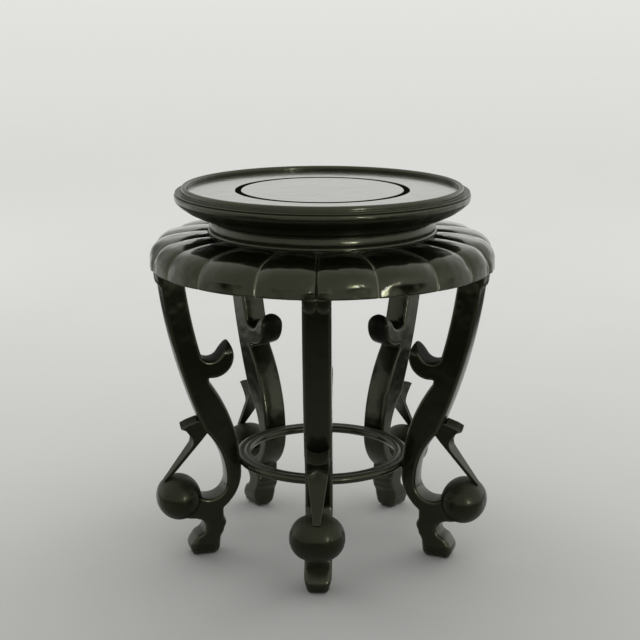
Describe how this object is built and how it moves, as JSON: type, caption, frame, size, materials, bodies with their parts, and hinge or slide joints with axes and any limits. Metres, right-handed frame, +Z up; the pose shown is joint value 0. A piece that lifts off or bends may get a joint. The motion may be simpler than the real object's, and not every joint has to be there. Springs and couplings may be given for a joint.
{
  "type": "hardwood stand",
  "caption": "Round low hardwood stand with a dished top, lobed apron, S-curved legs ending in balls and hoof feet, and a ring stretcher, for a vase, pot or carving.",
  "frame": {"origin": "middle of the floor circle under the five feet", "axes": "+Z up, first leg towards -Y, +X to the right seen from that leg"},
  "size_m": [0.2892, 0.2916, 0.3165],
  "materials": {
    "hardwood": "near-black stained hardwood, polished lacquer",
    "panel": "near-black stained hardwood, mirror-polished lacquer",
    "inlay": "ebony ring, satin",
    "dowel_wood": "bare wood, hidden in the joints"
  },
  "bodies": {
    "root": {"top_rim": "hardwood", "top_panel": "panel", "panel_inlay": "inlay", "waist": "hardwood", "stretcher_ring": "hardwood", "apron_1": "hardwood", "apron_2": "hardwood", "apron_3": "hardwood", "apron_4": "hardwood", "apron_5": "hardwood", "leg_1": "hardwood", "leg_2": "hardwood", "leg_3": "hardwood", "leg_4": "hardwood", "leg_5": "hardwood", "strut_1": "hardwood", "strut_2": "hardwood", "strut_3": "hardwood", "strut_4": "hardwood", "strut_5": "hardwood", "cheek_left_1": "hardwood", "cheek_left_2": "hardwood", "cheek_left_3": "hardwood", "cheek_left_4": "hardwood", "cheek_left_5": "hardwood", "cheek_right_1": "hardwood", "cheek_right_2": "hardwood", "cheek_right_3": "hardwood", "cheek_right_4": "hardwood", "cheek_right_5": "hardwood", "waist_dowels": "dowel_wood", "apron_keys": "dowel_wood", "leg_pegs": "dowel_wood", "stretcher_pegs": "dowel_wood", "ball_dowels": "dowel_wood"}
  },
  "joints": []
}
